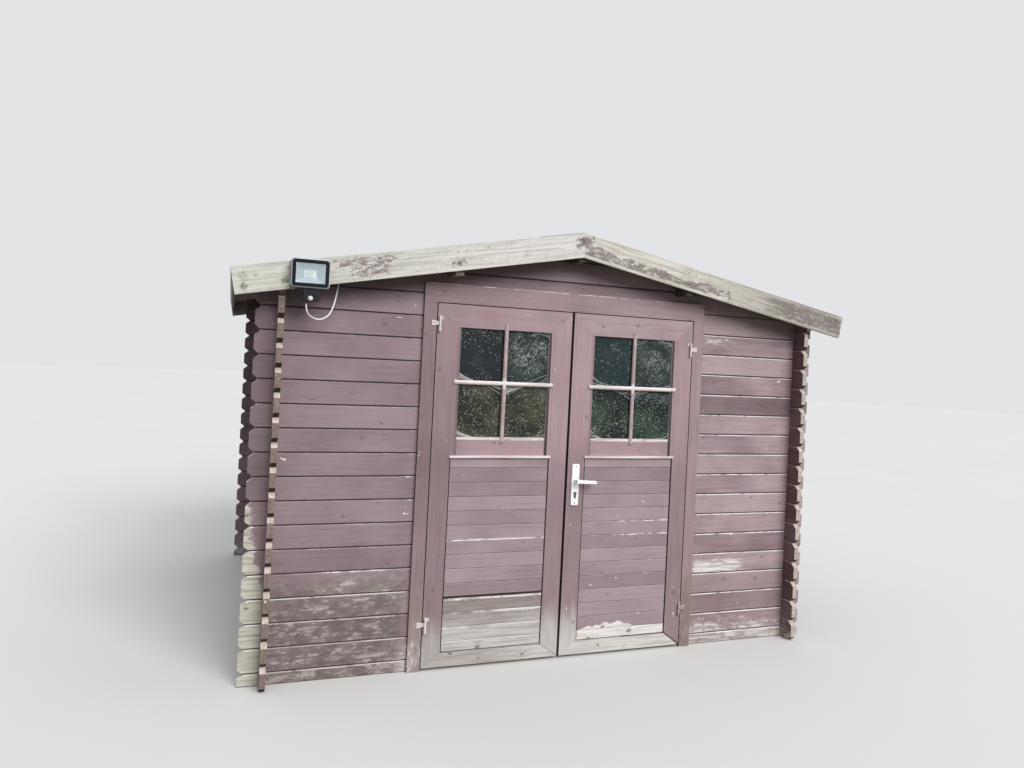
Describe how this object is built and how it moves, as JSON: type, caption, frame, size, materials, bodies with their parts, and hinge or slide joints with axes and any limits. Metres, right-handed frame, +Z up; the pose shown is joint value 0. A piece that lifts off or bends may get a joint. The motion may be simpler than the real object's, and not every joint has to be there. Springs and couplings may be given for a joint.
{
  "type": "wooden garden shed",
  "caption": "Log-built garden shed with a low front gable, interlocking notched corners, glazed outward-opening double doors, barge boards and a wall-fed floodlight.",
  "frame": {"origin": "on the ground in the middle of the walls' footprint, on the rest face of the middle floor joist", "axes": "+X along the front wall to the right as seen from outside, +Y from the front wall to the back wall, +Z up"},
  "size_m": [3.4266, 2.7234, 2.2464],
  "materials": {
    "wall_logs": "matt mauve-brown wood paint, weathered, worn white at the joints",
    "roof_timber": "rough aged pine, stained brown",
    "barge_paint": "weathered cream paint with mildew specks over brown",
    "roofing_felt": "dark mineral roofing felt",
    "floor_timber": "bare dusty pine",
    "door_timber": "matt mauve-brown wood paint, bare grey-white at the bottom",
    "glazing_bars": "peeling brown paint over bare pale wood",
    "window_glass": "dusty window glass",
    "hinge_steel": "dull zinc with light rust",
    "handle_metal": "worn pale lacquer",
    "lock_metal": "dull nickel",
    "lamp_body": "dark grey powder coat",
    "lamp_glass": "clear toughened glass",
    "lamp_reflector": "frosted bright reflector",
    "sensor_plastic": "black plastic",
    "gland_plastic": "pale plastic",
    "cable_sheath": "white cable sheath"
  },
  "bodies": {
    "shed": {"front_wall_left": "wall_logs", "front_wall_right": "wall_logs", "front_gable": "wall_logs", "back_wall": "wall_logs", "back_gable": "wall_logs", "left_side_wall": "wall_logs", "right_side_wall": "wall_logs", "ridge_purlin": "roof_timber", "side_purlins": "roof_timber", "roof_boards_left": "roof_timber", "roof_boards_right": "roof_timber", "eaves_boards": "roof_timber", "front_barge_left": "barge_paint", "front_barge_right": "barge_paint", "back_barge_boards": "barge_paint", "roof_felt": "roofing_felt", "floor_joists": "floor_timber", "floor_boards": "floor_timber", "door_jambs": "door_timber", "door_head": "door_timber", "door_sill": "door_timber", "hinge_plates": "hinge_steel", "lamp_housing": "lamp_body", "lamp_bracket": "lamp_body", "lamp_glass": "lamp_glass", "lamp_reflector": "lamp_reflector", "lamp_sensor": "sensor_plastic", "cable_glands": "gland_plastic", "lamp_cable": "cable_sheath"},
    "left_door": {"left_door_frame": "door_timber", "left_door_panel": "door_timber", "left_door_glass": "window_glass", "left_door_beads": "door_timber", "left_glazing_bars": "glazing_bars", "left_door_ledge": "door_timber", "left_hinge_barrels": "hinge_steel"},
    "right_door": {"right_door_frame": "door_timber", "right_door_panel": "door_timber", "right_door_glass": "window_glass", "right_door_beads": "door_timber", "right_glazing_bars": "glazing_bars", "right_door_ledge": "door_timber", "right_hinge_barrels": "hinge_steel", "handle_plates": "handle_metal", "lock_cylinder": "lock_metal"},
    "lever": {"door_lever": "handle_metal"}
  },
  "joints": [
    {"name": "left_door_hinge", "type": "hinge", "parent": "shed", "child": "left_door", "pos_m": [-0.7225, -1.226, 0.98], "axis": [0, 0, -1], "range_deg": [0, 160]},
    {"name": "right_door_hinge", "type": "hinge", "parent": "shed", "child": "right_door", "pos_m": [0.7405, -1.226, 0.95], "axis": [0, 0, 1], "range_deg": [0, 165]},
    {"name": "lever_turn", "type": "hinge", "parent": "right_door", "child": "lever", "pos_m": [0.062, -1.218, 0.946], "axis": [0, 1, 0], "range_deg": [0, 40], "stiffness_Nm_per_rad": 1.5, "springref_deg": -20.05}
  ]
}
